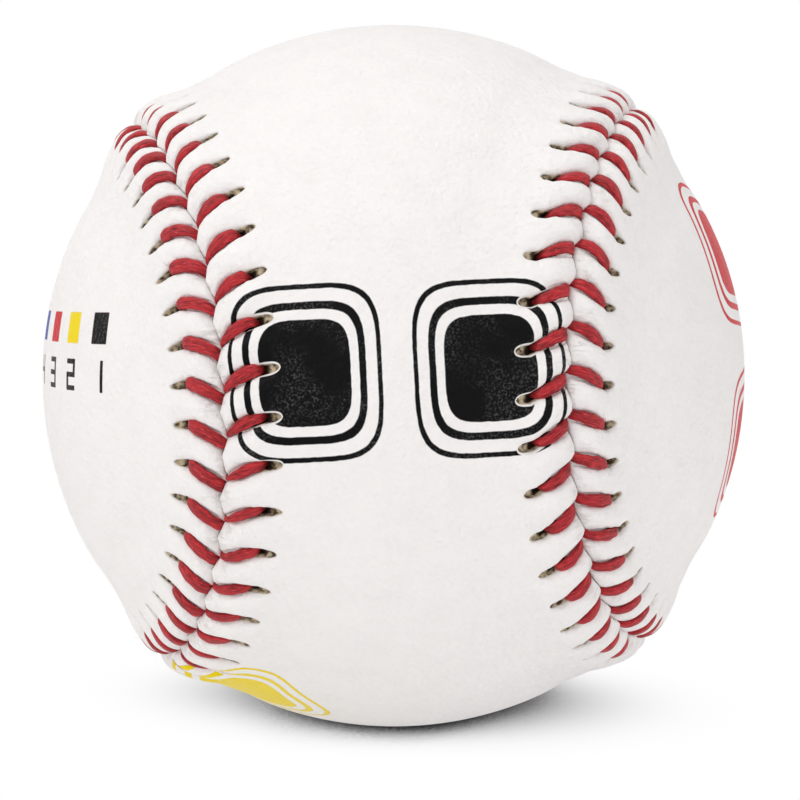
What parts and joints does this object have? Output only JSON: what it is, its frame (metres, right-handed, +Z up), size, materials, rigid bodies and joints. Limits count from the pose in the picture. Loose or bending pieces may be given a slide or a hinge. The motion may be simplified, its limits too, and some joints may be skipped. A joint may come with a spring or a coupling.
{
  "type": "training baseball",
  "caption": "Training baseball: two figure-eight synthetic leather panels laced with raised red stitching over a yarn-wound cushioned cork core.",
  "frame": {"origin": "centre of the ball", "axes": "+Z up; the narrow waist of cover panel a faces -Y and its two lobes lie over the top and the bottom; the waist of panel b faces +Y and its lobes lie at -X and +X, so Y is the axis about which the cover repeats"},
  "size_m": [0.0742, 0.075, 0.0742],
  "materials": {
    "cork": "pressed cork granules, matt",
    "black_rubber": "moulded, satin",
    "red_rubber": "moulded, satin",
    "grey_yarn": "wound wool yarn",
    "white_yarn": "wound wool yarn",
    "finish_yarn": "fine wound thread under a thin coat of rubber cement",
    "cover_leather": "off-white pebbled synthetic leather with a soft sheen and printed finger guides",
    "lacing_thread": "flat waxed red thread"
  },
  "bodies": {
    "root": {"cork_center": "cork", "core_shell_upper": "black_rubber", "core_shell_lower": "black_rubber", "core_washer": "red_rubber", "core_jacket_upper": "red_rubber", "core_jacket_lower": "red_rubber", "first_grey_winding": "grey_yarn", "white_winding": "white_yarn", "second_grey_winding": "grey_yarn", "finish_winding": "finish_yarn", "cover_panel_a": "cover_leather", "cover_panel_b": "cover_leather", "lacing_thread_a": "lacing_thread", "lacing_thread_b": "lacing_thread"}
  },
  "joints": []
}
